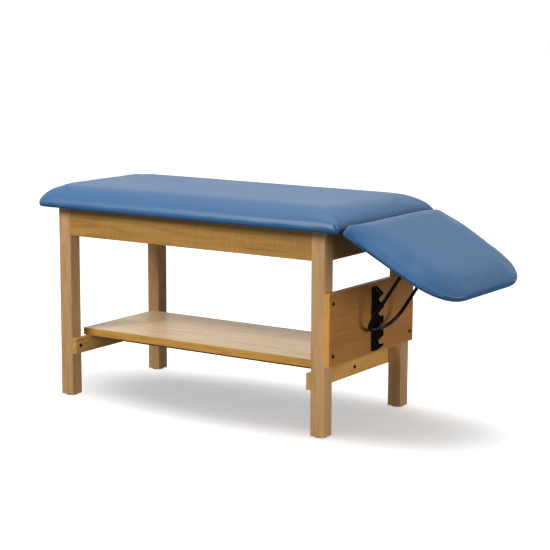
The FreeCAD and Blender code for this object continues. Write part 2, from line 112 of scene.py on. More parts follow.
class WoodSettings(bpy.types.PropertyGroup):
    """Colours of the wood and laminate."""
    leg: bpy.props.FloatVectorProperty(
        name="Maple", description="Colour of the lacquered maple", subtype="COLOR", size=3,
        default=srgb("#c79c6c"))
    leg_dark: bpy.props.FloatVectorProperty(
        name="Maple grain", description="Colour of the maple's darker grain", subtype="COLOR", size=3,
        default=srgb("#b58b5b"))
    birch: bpy.props.FloatVectorProperty(
        name="Birch", description="Colour of the golden stretchers and brace", subtype="COLOR", size=3,
        default=srgb("#d4a258"))
    laminate: bpy.props.FloatVectorProperty(
        name="Laminate", description="Colour of the woodgrain laminate", subtype="COLOR", size=3,
        default=srgb("#b38645"))
    laminate_dark: bpy.props.FloatVectorProperty(
        name="Laminate grain", description="Colour of the laminate's printed grain", subtype="COLOR", size=3,
        default=srgb("#a17436"))
    panel: bpy.props.FloatVectorProperty(
        name="Panel", description="Colour of the end panel's redder laminate", subtype="COLOR", size=3,
        default=srgb("#ac763a"))
    shelf: bpy.props.FloatVectorProperty(
        name="Shelf", description="Colour of the shelf's laminate", subtype="COLOR", size=3,
        default=srgb("#f8d8ac"))
    band: bpy.props.FloatVectorProperty(
        name="Edge band", description="Colour of the edge bands", subtype="COLOR", size=3,
        default=srgb("#d59e4a"))
    grain_width: bpy.props.FloatProperty(
        name="Grain width", description="Width of one band of grain", default=9 * MM, unit="LENGTH")


class HardwareSettings(bpy.types.PropertyGroup):
    """Sizes and colours of the bolts, screws and steel."""
    steel: bpy.props.FloatVectorProperty(
        name="Steel", description="Colour of the black powder coat", subtype="COLOR", size=3,
        default=srgb("#070708"))
    bolt_radius: bpy.props.FloatProperty(
        name="Bolt head", description="Radius of the bolts' heads", default=7 * MM, unit="LENGTH")
    bolt_height: bpy.props.FloatProperty(
        name="Bolt head height", description="Height of the bolts' heads", default=4 * MM, unit="LENGTH")
    screw_radius: bpy.props.FloatProperty(
        name="Screw head", description="Radius of the wood screws' heads", default=4.2 * MM, unit="LENGTH")
    screw_height: bpy.props.FloatProperty(
        name="Screw head height", description="Height of the wood screws' heads", default=2.4 * MM,
        unit="LENGTH")


class StageSettings(bpy.types.PropertyGroup):
    """Camera and light."""
    lens: bpy.props.FloatProperty(
        name="Lens", description="Focal length on a 36 mm sensor", default=110.6, unit="CAMERA")
    top: bpy.props.FloatProperty(
        name="Top light", description="Strength of the softbox above", default=44.0, unit="POWER")
    front: bpy.props.FloatProperty(
        name="Front light", description="Strength of the softbox in front", default=205.0, unit="POWER")
    side: bpy.props.FloatProperty(
        name="Side light", description="Strength of the softbox beside the head section", default=105.0,
        unit="POWER")
    ambient: bpy.props.FloatProperty(
        name="Ambient", description="Strength of the room's light", default=0.26)


# Materials

def new_material(name):
    """An empty node material and its tree."""
    material = bpy.data.materials.new(name)
    material.use_nodes = True
    material.node_tree.nodes.clear()
    return material, material.node_tree


def add(tree, kind, inputs=(), links=(), stops=(), **settings):
    """Add a node with its settings, input values and ramp stops, and link other nodes' sockets to it."""
    made = tree.nodes.new(kind)
    for key, value in settings.items():
        setattr(made, key, value)
    for key, value in dict(inputs).items():
        made.inputs[key].default_value = value
    for key, socket in dict(links).items():
        tree.links.new(socket, made.inputs[key])
    for step, (position, colour) in enumerate(stops):
        elements = made.color_ramp.elements
        element = elements[step] if step < len(elements) else elements.new(position)
        element.position, element.color = position, colour
    return made


def grey(value):
    """A grey colour for a ramp that only carries a number."""
    return (value, value, value, 1)


def shaded(colour, *shares):
    """A colour setting as linear RGBA, with each part times its share."""
    return [min(v * share, 1) for v, share in zip(colour, shares or (1, 1, 1))] + [1]


def lacquered_wood(name, light, dark, along, grain_width, roughness, figure=0.5, curl=0.0):
    """Sawn hardwood or woodgrain laminate under a satin coat: soft grain, fine dark pores, a quiet gloss.

    Figure is how far the grain wanders. Curl draws short pale and dark waves across the grain."""
    material, tree = new_material(name)
    place = add(tree, "ShaderNodeTexCoord").outputs["Object"]

    def stretched(width, share):
        """The scale of a pattern of that width, which changes less along the grain by a share."""
        return {"Scale": [1 / width * (share if axis == along else 1) for axis in "XYZ"]}

    # Grain runs about fifteen times longer than it is wide
    grain = add(tree, "ShaderNodeMapping", stretched(grain_width, 0.07), {"Vector": place}).outputs["Vector"]
    bend = add(tree, "ShaderNodeTexNoise", {"Scale": 1 / (grain_width * 15), "Detail": 2.0, "Roughness": 0.4},
               {"Vector": place})
    bent = add(tree, "ShaderNodeVectorMath", {1: (figure * 2.2,) * 3}, {0: bend.outputs["Color"]},
               operation="MULTIPLY")
    warped = add(tree, "ShaderNodeVectorMath", (), {0: grain, 1: bent.outputs["Vector"]}, operation="ADD")
    wander = {"Vector": warped.outputs["Vector"]}
    bands = add(tree, "ShaderNodeTexNoise",
                {"Scale": 0.55, "Detail": 5.0, "Roughness": 0.55, "Distortion": 0.6}, wander).outputs["Fac"]
    broad = add(tree, "ShaderNodeTexNoise", {"Scale": 0.12, "Detail": 1.0}, wander).outputs["Fac"]
    # Pores are hairlines about 0.4 mm wide, drawn 1.2 mm wide so that they show
    pore_place = add(tree, "ShaderNodeMapping", stretched(1.2 * MM, 0.03), {"Vector": place})
    pores = add(tree, "ShaderNodeTexNoise", {"Scale": 1.0, "Detail": 2.0},
                {"Vector": pore_place.outputs["Vector"]}).outputs["Fac"]
    # What darkens the grain's own colour, and the two greys that it runs between
    darker = [(broad, (0.3, 0.86), (0.7, 1.0)), (pores, (0.30, 0.80), (0.42, 1.0))]
    if curl:
        # Waves of curl are about 7 mm long and reach 45 mm across
        wave_place = add(tree, "ShaderNodeMapping", stretched(45 * MM, 45 / 7), {"Vector": place})
        wave = add(tree, "ShaderNodeTexNoise", {"Scale": 1.0, "Detail": 1.0},
                   {"Vector": wave_place.outputs["Vector"]}).outputs["Fac"]
        darker.append((wave, (0.35, 1 - curl), (0.65, 1.0)))
    colour = add(tree, "ShaderNodeValToRGB", (), {"Fac": bands},
                 [(0.34, dark), (0.52, light), (0.72, shaded(light, 1.08, 1.08, 1.08))]).outputs["Color"]
    for pattern, *greys in darker:
        shade = add(tree, "ShaderNodeValToRGB", (), {"Fac": pattern},
                    [(at, grey(value)) for at, value in greys]).outputs["Color"]
        colour = add(tree, "ShaderNodeMix", {0: 1.0}, {6: colour, 7: shade}, data_type="RGBA",
                     blend_type="MULTIPLY").outputs[2]
    bump = add(tree, "ShaderNodeBump", {"Strength": 0.12, "Distance": 0.0002}, {"Height": pores})
    rough = add(tree, "ShaderNodeValToRGB", (), {"Fac": bands},
                [(0.3, grey(roughness + 0.05)), (0.7, grey(roughness - 0.03))])
    shader = add(tree, "ShaderNodeBsdfPrincipled",
                 {"IOR": 1.5, "Specular IOR Level": 0.35, "Coat Weight": 0.05, "Coat Roughness": 0.3},
                 {"Base Color": colour, "Roughness": rough.outputs["Color"],
                  "Normal": bump.outputs["Normal"]})
    add(tree, "ShaderNodeOutputMaterial", (), {"Surface": shader.outputs["BSDF"]})
    return material


def upholstery_vinyl(name, colour, grain):
    """Expanded vinyl with a fine pressed grain: soft broad highlights, and painted shade that makes the
    sunken parts of the grain slightly darker.
    """
    material, tree = new_material(name)
    place = {"Vector": add(tree, "ShaderNodeTexCoord").outputs["Object"]}
    cells = add(tree, "ShaderNodeTexVoronoi", {"Scale": 1 / grain, "Randomness": 0.9}, place,
                feature="F1").outputs["Distance"]
    fine = add(tree, "ShaderNodeTexNoise", {"Scale": 0.6 / grain, "Detail": 3.0}, place).outputs["Fac"]
    # Wear comes in patches about 200 mm across
    wear = add(tree, "ShaderNodeTexNoise", {"Scale": 5.0, "Detail": 3.0, "Roughness": 0.5},
               place).outputs["Fac"]
    tone = add(tree, "ShaderNodeValToRGB", (), {"Fac": wear},
               [(0.25, shaded(colour, 0.94, 0.94, 0.94)), (0.75, shaded(colour, 1.06, 1.06, 1.06))])
    # Painted shade: the sunken edges of the grain's cells are coloured up to a tenth darker
    painted_hollow_shade = add(tree, "ShaderNodeValToRGB", (), {"Fac": cells}, [(0.1, grey(1.0)), (0.75, grey(0.90))])
    both = add(tree, "ShaderNodeMix", {0: 1.0}, {6: tone.outputs["Color"], 7: painted_hollow_shade.outputs["Color"]},
               data_type="RGBA", blend_type="MULTIPLY")
    rough = add(tree, "ShaderNodeValToRGB", (), {"Fac": wear}, [(0.3, grey(0.42)), (0.7, grey(0.49))])
    coarse = add(tree, "ShaderNodeBump", {"Strength": 0.25, "Distance": 0.0003}, {"Height": fine})
    bump = add(tree, "ShaderNodeBump", {"Strength": 0.30, "Distance": 0.0002},
               {"Height": cells, "Normal": coarse.outputs["Normal"]}, invert=True)
    shader = add(tree, "ShaderNodeBsdfPrincipled",
                 {"IOR": 1.5, "Specular IOR Level": 0.38, "Sheen Weight": 0.04, "Sheen Roughness": 0.5},
                 {"Base Color": both.outputs[2], "Roughness": rough.outputs["Color"],
                  "Normal": bump.outputs["Normal"]})
    add(tree, "ShaderNodeOutputMaterial", (), {"Surface": shader.outputs["BSDF"]})
    return material


def coated_metal(name, colour, roughness, metallic, texture, dip, gloss=0.3):
    """Powder coat, black oxide or zinc on steel, or moulded nylon: even colour, orange peel, a soft gloss."""
    material, tree = new_material(name)
    place = {"Vector": add(tree, "ShaderNodeTexCoord").outputs["Object"]}
    peel = add(tree, "ShaderNodeTexNoise", {"Scale": 1 / texture, "Detail": 2.0}, place)
    # Wear comes in patches about 22 mm across
    worn = {"Fac": add(tree, "ShaderNodeTexNoise", {"Scale": 45.0, "Detail": 4.0}, place).outputs["Fac"]}
    tone = add(tree, "ShaderNodeValToRGB", (), worn,
               [(0.35, colour), (0.75, shaded(colour, 1.35, 1.35, 1.35))])
    rough = add(tree, "ShaderNodeValToRGB", (), worn,
                [(0.3, grey(roughness)), (0.8, grey(roughness + 0.12))])
    bump = add(tree, "ShaderNodeBump", {"Strength": dip, "Distance": 0.0002},
               {"Height": peel.outputs["Fac"]})
    shader = add(tree, "ShaderNodeBsdfPrincipled", {"Metallic": metallic, "Specular IOR Level": gloss},
                 {"Base Color": tone.outputs["Color"], "Roughness": rough.outputs["Color"],
                  "Normal": bump.outputs["Normal"]})
    add(tree, "ShaderNodeOutputMaterial", (), {"Surface": shader.outputs["BSDF"]})
    return material


FINISHES = {}


def finish(name):
    """The material with that name, made once from the settings."""
    if name in FINISHES:
        return FINISHES[name]
    scene = bpy.context.scene
    wood, soft, metal = scene.table_wood, scene.table_upholstery, scene.table_hardware
    grain = wood.grain_width
    maple = shaded(wood.leg), shaded(wood.leg_dark)
    birch = shaded(wood.birch), shaded(wood.birch, 0.80, 0.74, 0.66)
    laminate = shaded(wood.laminate), shaded(wood.laminate_dark)
    panel = shaded(wood.panel), shaded(wood.panel, 0.90, 0.86, 0.82)
    shelf = shaded(wood.shelf), shaded(wood.shelf, 0.88, 0.82, 0.74)
    band = shaded(wood.band), shaded(wood.band, 0.72, 0.72, 0.72)
    # Light and dark colour, direction and width of the grain, roughness, figure and curl
    woods = {
        "maple_upright": (*maple, "Z", grain, 0.42),
        "golden_birch_crosswise": (*birch, "Y", grain, 0.40),
        "golden_birch_lengthwise": (*birch, "X", grain, 0.40),
        "laminate_lengthwise": (*laminate, "X", grain, 0.36, 0.4, 0.10),
        "laminate_crosswise": (*laminate, "Y", grain, 0.36, 0.4, 0.05),
        "panel_laminate": (*panel, "Y", grain, 0.38, 0.4, 0.03),
        "shelf_laminate": (*shelf, "X", grain, 0.40, 0.4, 0.04),
        "edge_band": (*band, "X", grain, 0.34, 0.2),
        "edge_band_crosswise": (*band, "Y", grain, 0.34, 0.2),
        "edge_band_upright": (*band, "Z", grain, 0.34, 0.2),
        # Rotary-cut veneer has a wide, wandering grain and stays unlacquered under the cover
        "birch_plywood": (linear("#c2a074"), linear("#a88558"), "X", grain * 2, 0.62, 0.8),
    }
    # Colour, roughness, metal, width and depth of the texture, and gloss
    coats = {
        "black_powder_coat": (shaded(metal.steel), 0.34, 0.0, 2.2 * MM, 0.12, 0.2),
        "black_oxide_steel": (linear("#1c1a19"), 0.36, 0.6, 1.5 * MM, 0.05),
        "zinc_plated_steel": (linear("#b4b5b3"), 0.30, 1.0, 1.5 * MM, 0.05),
        "nylon_glide": (linear("#1b1b1c"), 0.55, 0.0, 1.0 * MM, 0.10),
        "staple_wire": (linear("#a9aaa8"), 0.34, 1.0, 1.0 * MM, 0.02),
    }
    vinyls = {"blue_vinyl": (soft.vinyl, soft.grain)}
    for make, kinds in ((lacquered_wood, woods), (coated_metal, coats), (upholstery_vinyl, vinyls)):
        if name in kinds:
            FINISHES[name] = make(name, *kinds[name])
    return FINISHES[name]


def dress(material, *names):
    """Give CAD nodes a finish."""
    for name in names:
        slots = NODES[name].data.materials
        slots.clear()
        slots.append(finish(material))


# Mesh helpers

def new_object(name, mesh, material):
    """A finished piece at the origin with one material."""
    mesh.materials.clear()
    mesh.materials.append(finish(material))
    made = bpy.data.objects.new(name, mesh)
    bpy.context.scene.collection.objects.link(made)
    return made


def mesh_from(name, points, faces):
    """A mesh with outward normals from points and faces."""
    mesh = bpy.data.meshes.new(name)
    mesh.from_pydata([tuple(p) for p in points], [], faces)
    shape = bmesh.new()
    shape.from_mesh(mesh)
    bmesh.ops.remove_doubles(shape, verts=shape.verts, dist=0.01 * MM)
    bmesh.ops.recalc_face_normals(shape, faces=shape.faces)
    shape.to_mesh(mesh)
    shape.free()
    return mesh


def smooth(mesh, angle=40):
    """Smooth shading that keeps edges sharper than the angle."""
    shape = bmesh.new()
    shape.from_mesh(mesh)
    for face in shape.faces:
        face.smooth = True
    for edge in shape.edges:
        edge.smooth = not (len(edge.link_faces) == 2 and edge.calc_face_angle() > math.radians(angle))
    shape.to_mesh(mesh)
    shape.free()
    return mesh


def bridge(rings):
    """Points and faces of a closed tube of rings that have equally many points."""
    count = len(rings[0])
    points = [p for ring in rings for p in ring]
    faces = []
    for i in range(len(rings) - 1):
        for j in range(count):
            k = (j + 1) % count
            faces.append((i * count + j, i * count + k, (i + 1) * count + k, (i + 1) * count + j))
    faces.append(tuple(range(count))[::-1])
    faces.append(tuple((len(rings) - 1) * count + j for j in range(count)))
    return points, faces


# Upholstery

def bell(values, width):
    """One at zero, falling to a third at the width."""
    return np.exp(-(values / width) ** 2)


def plan_ring(split, end, half, corners, taper):
    """Points round a plan: split corners first, each a part of a superellipse, with sides that draw in."""
    corner_points, side_points, bow = 15, 30, 2.5 * MM
    direction = 1 if end > split else -1
    arcs = []
    for x, outward_sign, (reach_x, reach_y, power) in zip((split, end), (-1, 1), corners):
        arc = []
        for j in range(corner_points):
            turn = math.pi / 2 * j / (corner_points - 1)
            across = reach_x * (1 - math.cos(turn) ** (2 / power))
            along = reach_y * (1 - math.sin(turn) ** (2 / power))
            arc.append((x - outward_sign * direction * across, half - along))
        arcs.append(arc)
    split_arc, end_arc = arcs
    # From the middle of the split, round the far side, to the middle of the end
    middle = split_arc[0][1]
    path = [(split, middle * j / side_points) for j in range(side_points)]
    path += split_arc
    run = end_arc[-1][0] - split_arc[-1][0]
    path += [(split_arc[-1][0] + run * j / (2 * side_points), half) for j in range(1, 2 * side_points)]
    path += end_arc[::-1]
    middle = end_arc[0][1]
    path += [(end, middle * (1 - j / side_points)) for j in range(1, side_points + 1)]
    points = []
    length = abs(end - split)
    for x, y in path:
        share = abs(x - split) / length
        y -= bow * 4 * share * (1 - share) * (y / half)
        points.append(Vector((x, y * (1 - taper * share), 0)))
    return points + [Vector((p.x, -p.y, 0)) for p in points[-2:0:-1]]


@dataclass
class Pad:
    """The plan and profile of one padded section, drawn level."""
    split: float  # Place of the edge at the hinges
    end: float  # Place of the opposite edge
    half: float  # Half of the width at the split
    taper: float  # Share of the width that is lost towards the end
    radii: tuple  # Of the corners at the split and at the end
    slopes: tuple  # Width of the crown's fall at the split, at the end and at the sides
    turned: float  # Radius of the lower edge, where the cover turns under
    lip: float  # Height at which the crown begins
    thickness: float
    square: float = 0.0  # Height that the edge at the split gains
    droop: float = 0.0  # Height that the far corner of that edge loses

    @property
    def direction(self):
        """Which way along the table the end lies from the split."""
        return 1 if self.end > self.split else -1

    def ring(self, inset, share=0.0):
        """The plan drawn in all round by an inset, and by a share of the slopes of split, end and sides."""
        split_in, end_in, side_in = (inset + share * slope for slope in self.slopes)
        beyond_slope, crown_power = 34 * MM, 2.3
        # A round corner cuts 0.2929 of its radius off each side
        round_cut, largest_cut = 0.2929, 0.29
        corners = []
        for radius, slope, gone in zip(self.radii, self.slopes, (split_in, end_in)):
            reach_x = max(radius, slope + beyond_slope)
            reach_y = max(radius, self.slopes[2] + beyond_slope)
            # The power that cuts as much off the corner as its radius does
            cut = min(round_cut * radius / ((reach_x + reach_y) / 2), largest_cut)
            power = math.log(0.5) / math.log(1 - cut)
            # On the crown both corners round off alike
            power += (crown_power - power) * min(share * 1.6, 1)
            corners.append((reach_x - gone, reach_y - side_in, power))
        return plan_ring(self.split + self.direction * split_in, self.end - self.direction * end_in,
                         self.half - side_in, corners, self.taper)

    def corners(self):
        """Place, inward direction, half width and radius of the corners at the split and at the end."""
        return ((self.split, self.direction, self.half, self.radii[0]),
                (self.end, -self.direction, self.half * (1 - self.taper), self.radii[1]))

    def levels(self):
        """Inset, share of the slopes and height of each ring, from the underside up over the crown."""
        turn_steps, crown_steps = 6, 18
        turned_in, side_inset, lip_inset = self.turned * 0.3, 0.3 * MM, 0.8 * MM
        # Rings lie closer near the lip, where the crown is steep, than on its flat middle
        crowding, flatness, steepness = 1.25, 3.0, 0.88
        rows = []
        for i in range(turn_steps + 1):
            turn = math.pi / 2 * i / turn_steps
            rows.append((turned_in * (1 - math.sin(turn)), 0.0, self.turned * (1 - math.cos(turn))))
        rows.append((side_inset, 0.0, (self.turned + self.lip) / 2))
        for i in range(crown_steps + 1):
            share = (i / crown_steps) ** crowding
            swell = (1 - (1 - share) ** flatness) ** steepness
            rows.append((lip_inset, share, self.lip + (self.thickness - self.lip) * swell))
        return rows

    def raised(self, point, rise):
        """Height of a point: more along the split's squarer edge, and less at the far corner there."""
        edge_reach, corner_reach = 70 * MM, 62 * MM
        near = bell(point.x - self.split, edge_reach)
        below = rise / self.lip if rise < self.lip else (self.thickness - rise) / (self.thickness - self.lip)
        corner = near * bell(self.half - point.y, corner_reach) * min(rise / self.lip, 1)
        return rise + near * self.square * max(below, 0) - corner * self.droop


def pad_mesh(name, pad):
    """The pad as one closed mesh, remeshed evenly and smoothed."""
    rings = []
    for inset, share, rise in pad.levels():
        rings.append([Vector((p.x, p.y, DECK + pad.raised(p, rise))) for p in pad.ring(inset, share)])
    points, faces = bridge(rings)
    made = new_object(name, mesh_from(name, points, faces), "blue_vinyl")
    remesh = made.modifiers.new("even", "REMESH")
    remesh.mode = "VOXEL"
    remesh.voxel_size = 8 * MM
    return soften(bake(made), pad, steps=26)


def soften(made, pad, steps):
    """Even out the crown, less so near the lip and at the near corner of a squarer edge."""
    full_height, least_weight, kept_square, corner_reach = 12 * MM, 0.05, 0.8, 60 * MM
    upper = made.vertex_groups.new(name="crown")
    for vert in made.data.vertices:
        weight = min(max((vert.co.z - DECK - pad.lip / 2) / full_height, least_weight), 1)
        if pad.square and vert.co.y < 0:
            away = math.hypot(vert.co.x - pad.split, vert.co.y + pad.half)
            weight *= 1 - kept_square * bell(away, corner_reach)
        upper.add([vert.index], weight, "REPLACE")
    even = made.modifiers.new("soften", "SMOOTH")
    even.factor, even.iterations, even.vertex_group = 0.5, steps, "crown"
    bake(made)
    made.vertex_groups.clear()
    return made


def bake(made):
    """Apply every modifier of a piece."""
    graph = bpy.context.evaluated_depsgraph_get()
    mesh = bpy.data.meshes.new_from_object(made.evaluated_get(graph))
    made.modifiers.clear()
    old = made.data
    made.data = mesh
    bpy.data.meshes.remove(old)
    return made


def coordinates(mesh):
    """The mesh's points as an array."""
    values = np.zeros(len(mesh.vertices) * 3, np.float32)
    mesh.vertices.foreach_get("co", values)
    return values.reshape(-1, 3).astype(float)


def set_coordinates(mesh, values):
    """Write an array of points back to the mesh."""
    mesh.vertices.foreach_set("co", values.astype(np.float32).ravel())
    mesh.update()


def inflate(made, furthest):
    """Press the foam against the cover with a cloth simulation, and limit how far it moves."""
    last_frame, held_height = 20, 3 * MM
    start = coordinates(made.data)
    held = made.vertex_groups.new(name="held")
    held.add([i for i, p in enumerate(start) if p[2] < DECK + held_height], 1.0, "REPLACE")
    cloth = made.modifiers.new("cover", "CLOTH")
    # Supported vinyl hardly stretches, and is cut 0.4 % large so that it fills
    firmness = {"quality": 6, "mass": 0.4, "tension_stiffness": 22, "compression_stiffness": 22,
                "shear_stiffness": 8, "bending_stiffness": 1.2, "use_pressure": True,
                "uniform_pressure_force": 2.0, "vertex_group_mass": "held", "shrink_min": -0.004}
    for key, value in firmness.items():
        setattr(cloth.settings, key, value)
    cloth.settings.effector_weights.gravity = 0
    cloth.point_cache.frame_start, cloth.point_cache.frame_end = 1, last_frame
    scene = bpy.context.scene
    for frame_number in range(1, last_frame + 1):
        scene.frame_set(frame_number)
    graph = bpy.context.evaluated_depsgraph_get()
    moved = coordinates(made.evaluated_get(graph).data)
    made.modifiers.clear()
    made.vertex_groups.clear()
    scene.frame_set(1)
    step = moved - start
    length = np.linalg.norm(step, axis=1, keepdims=True)
    step *= furthest * np.tanh(length / furthest) / np.maximum(length, 1e-9)
    set_coordinates(made.data, start + step)


def refine_corners(made, pad):
    """Split the faces near the corners and along the lip there, so that folds can be narrow."""
    # An arc lies about 0.3 of its radius inside the corner of its two sides
    arc_depth, reach_share, least_reach = 0.3, 0.75, 46 * MM
    spots = [(x + inward * radius * arc_depth, sign * (half - radius * arc_depth),
              max(radius * reach_share, least_reach))
             for x, inward, half, radius in pad.corners() for sign in (-1, 1)]
    top = DECK + pad.lip + 16 * MM
    shape = bmesh.new()
    shape.from_mesh(made.data)

    def at_corner(edge):
        return edge.verts[0].co.z < top and any(math.hypot(vert.co.x - x, vert.co.y - y) < reach
                                                for x, y, reach in spots for vert in edge.verts)

    bmesh.ops.subdivide_edges(shape, edges=[edge for edge in shape.edges if at_corner(edge)], cuts=1,
                              use_grid_fill=True, smooth=0.0)
    shape.to_mesh(made.data)
    shape.free()


def outward(made):
    """Point normals of the mesh as an array."""
    values = np.zeros(len(made.data.vertices) * 3, np.float32)
    made.data.vertices.foreach_get("normal", values)
    return values.reshape(-1, 3).astype(float)


def waves(points, wavelength, seed):
    """A smooth wavy number for each point, from a few fixed sines."""
    chance = np.random.default_rng(seed)
    total = np.zeros(len(points))
    for _ in range(7):
        direction = chance.normal(size=3)
        direction /= np.linalg.norm(direction)
        size = wavelength * chance.uniform(0.7, 1.6)
        total += np.sin(points @ direction * 2 * math.pi / size + chance.uniform(0, 2 * math.pi))
    return total / 7


def fold_count(radius):
    """A tight corner is drawn into one tuck, and a wide one is gathered in many small folds."""
    return 0 if radius < 20 * MM else 1 if radius < 60 * MM else 5 if radius < 100 * MM else 9


def pull_cover(made, pad, seed, depth):
    """Puckers where the cover is pulled under the board, and folds gathered at the corners."""
    # Depth, wavelength, and the height where each kind is strongest
    pucker, pucker_wave, pucker_height, pucker_reach = 1.1 * MM, 70 * MM, 7 * MM, 9 * MM
    sway, sway_wave, sway_height = 0.7 * MM, 420 * MM, 30 * MM
    fold_width, fold_height, fold_reach, corner_reach = 2.6 * MM, 4 * MM, 14 * MM, 24 * MM
    points = coordinates(made.data)
    normals = outward(made)
    rise = points[:, 2] - DECK
    side = np.clip(1 - np.abs(normals[:, 2]), 0, 1)
    puckers = waves(points * [1, 1, 0], pucker_wave, seed) * pucker
    shift = puckers * bell(rise - pucker_height, pucker_reach) * side
    shift += waves(points, sway_wave, seed + 1) * sway * np.clip(rise / sway_height, 0, 1)
    for x, toward, half, radius in pad.corners():
        count = fold_count(radius)
        for sign in (-1, 1):
            offset = points[:, :2] - np.array([x + toward * radius, sign * (half - radius)])
            angle = np.arctan2(offset[:, 1] * sign, -offset[:, 0] * toward)
            near = bell(np.linalg.norm(offset, axis=1) - radius, corner_reach)
            height = bell(np.clip(rise - fold_height, 0, None), fold_reach)
            deep, lean = depth, 0
            if count == 1:
                # The single tuck is deep, and leans towards the side as it rises
                deep, lean = depth * 4.5, np.clip(rise - 8 * MM, None, 22 * MM)
                height = bell(rise - 18 * MM, 11 * MM)
            for fold in range(count):
                middle = math.pi / 2 * (fold + 0.5) / count + (0.06 if fold % 2 else -0.05)
                across = (angle - middle) * max(radius, 20 * MM) - lean
                shift -= deep * bell(across, fold_width) * near * height * side
                # The cover swells beside a fold
                shift += deep * 0.35 * bell(np.abs(across) - 6 * MM, 4 * MM) * near * height * side
                if count == 1:
                    # The open mouth of the tuck
                    mouth = bell(across - 2 * MM, 4.5 * MM) * bell(rise - 22 * MM, 6 * MM)
                    shift -= depth * 6 * mouth * near * side
    set_coordinates(made.data, points + normals * shift[:, None])


def keep_above_deck(made):
    """Keep the underside flat on the boards' level and everything else above it."""
    points = coordinates(made.data)
    points[:, 2] = np.maximum(points[:, 2], DECK)
    set_coordinates(made.data, points)


def keep_off_board(made, board, body):
    """Keep the cover a little way off the board inside it."""
    gap, search = 1.5 * MM, 25 * MM
    back = SEATED.inverted() if body == HEAD else Matrix()
    mesh = NODES[board].data
    tree = BVHTree.FromPolygons([back @ v.co for v in mesh.vertices], [p.vertices[:] for p in mesh.polygons])
    for vert in made.data.vertices:
        if vert.co.z > DECK + gap:
            place, normal, _, _ = tree.find_nearest(vert.co, search)
            if place is not None:
                vert.co += normal * max(gap - (vert.co - place).dot(normal), 0)


def make_pad(name, node, board, body, pad, seed):
    """Model, inflate and fold one padded section, and put it in place of its CAD solid."""
    settings = bpy.context.scene.table_upholstery
    made = pad_mesh(name, pad)
    inflate(made, settings.swell)
    soften(made, pad, steps=8)
    finer = made.modifiers.new("finer", "SUBSURF")
    finer.levels = finer.render_levels = 1
    bake(made)
    refine_corners(made, pad)
    pull_cover(made, pad, seed, settings.pleat_depth)
    keep_off_board(made, board, body)
    keep_above_deck(made)
    if body == HEAD:
        made.data.transform(SEATED)
    smooth(made.data, 180)
    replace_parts(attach(made, body), node)


def level_box(node):
    """Corners of a head-section node as it is when level."""
    back = SEATED.inverted()
    points = np.array([back @ v.co for v in NODES[node].data.vertices])
    return Vector(points.min(0)), Vector(points.max(0))


def main_pad():
    """Sizes of the fixed section's pad."""
    low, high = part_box("main_cushion")
    return Pad(split=high.x - 2 * MM, end=low.x, half=high.y, taper=0.0, radii=(22 * MM, 74 * MM),
               slopes=(160 * MM, 88 * MM, 140 * MM), turned=17 * MM, lip=24 * MM,
               thickness=high.z - low.z + CROWN)


def head_pad():
    """Sizes of the head section's pad, level."""
    low, high = level_box("head_cushion")
    return Pad(split=low.x - 4 * MM, end=high.x - 6 * MM, half=high.y, taper=0.049, radii=(4 * MM, 148 * MM),
               slopes=(60 * MM, 132 * MM, 144 * MM), turned=12 * MM, lip=21 * MM,
               thickness=high.z - low.z + CROWN * 0.4, square=18 * MM, droop=22 * MM)


def hem_mesh(name, pad, width, gaps):
    """The turned-under edge of a cover: a thin strip on the board's underside, gathered at the corners."""
    edge_inset, rows = 4.5 * MM, 5
    outer, inner = pad.ring(edge_inset), pad.ring(edge_inset + width)
    shape = bmesh.new()
    columns = []
    for j, (outside, inside) in enumerate(zip(outer, inner)):
        column = []
        for i in range(rows):
            share = i / (rows - 1)
            flat = outside.lerp(inside, share * (0.93 + 0.07 * math.sin(j * 1.7)))
            ripple = 0.5 * MM * (j % 2)
            column.append(shape.verts.new((flat.x, flat.y, DECK - 0.5 * MM - ripple * share)))
        columns.append(column)
    for j in range(len(outer)):
        k = (j + 1) % len(outer)
        middle = (outer[j] + outer[k]) / 2
        if any(a < middle.y < b and abs(middle.x - pad.split) < 20 * MM for a, b in gaps):
            continue
        for i in range(rows - 1):
            shape.faces.new((columns[j][i], columns[k][i], columns[k][i + 1], columns[j][i + 1]))
    bmesh.ops.delete(shape, geom=[v for v in shape.verts if not v.link_faces], context="VERTS")
    mesh = bpy.data.meshes.new(name)
    bmesh.ops.recalc_face_normals(shape, faces=shape.faces)
    shape.to_mesh(mesh)
    shape.free()
    return mesh


def make_hem(name, body, pad):
    """The hem as its own piece, with the vinyl's thickness and gaps for the hinges."""
    half_gap = 52 * MM
    gaps = [(sign * HINGE_REACH - half_gap, sign * HINGE_REACH + half_gap) for sign in (-1, 1)]
    width = bpy.context.scene.table_upholstery.hem_width
    made = new_object(name, hem_mesh(name, pad, width, gaps), "blue_vinyl")
    wall = made.modifiers.new("thickness", "SOLIDIFY")
    wall.thickness, wall.offset = 0.9 * MM, 0
    bake(made)
    if body == HEAD:
        made.data.transform(SEATED)
    smooth(made.data, 60)
    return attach(made, body)


class MakeUpholstery(bpy.types.Operator):
    """Model both pads with their pulled covers, folds and hems"""
    bl_idname = "treatment_table.upholstery"
    bl_label = "Upholstery"

    def execute(self, context):
        make_pad("main_pad", "main_cushion", "main_board", ROOT, main_pad(), 11)
        make_pad("head_pad", "head_cushion", "head_board", HEAD, head_pad(), 23)
        make_hem("main_hem", ROOT, main_pad())
        make_hem("head_hem", HEAD, head_pad())
        return {"FINISHED"}


# Repeated hardware

def ring_points(radius, z, count=24):
    """Points on a level circle."""
    turns = (2 * math.pi * i / count for i in range(count))
    return [Vector((radius * math.cos(turn), radius * math.sin(turn), z)) for turn in turns]


def hexagon_points(radius, z, count=24):
    """Points along a hexagon, as many as on a circle."""
    turns = (math.pi / 3 * i for i in range(6))
    corners = [Vector((radius * math.cos(turn), radius * math.sin(turn), z)) for turn in turns]
    each = count // 6
    return [corners[i].lerp(corners[(i + 1) % 6], j / each) for i in range(6) for j in range(each)]


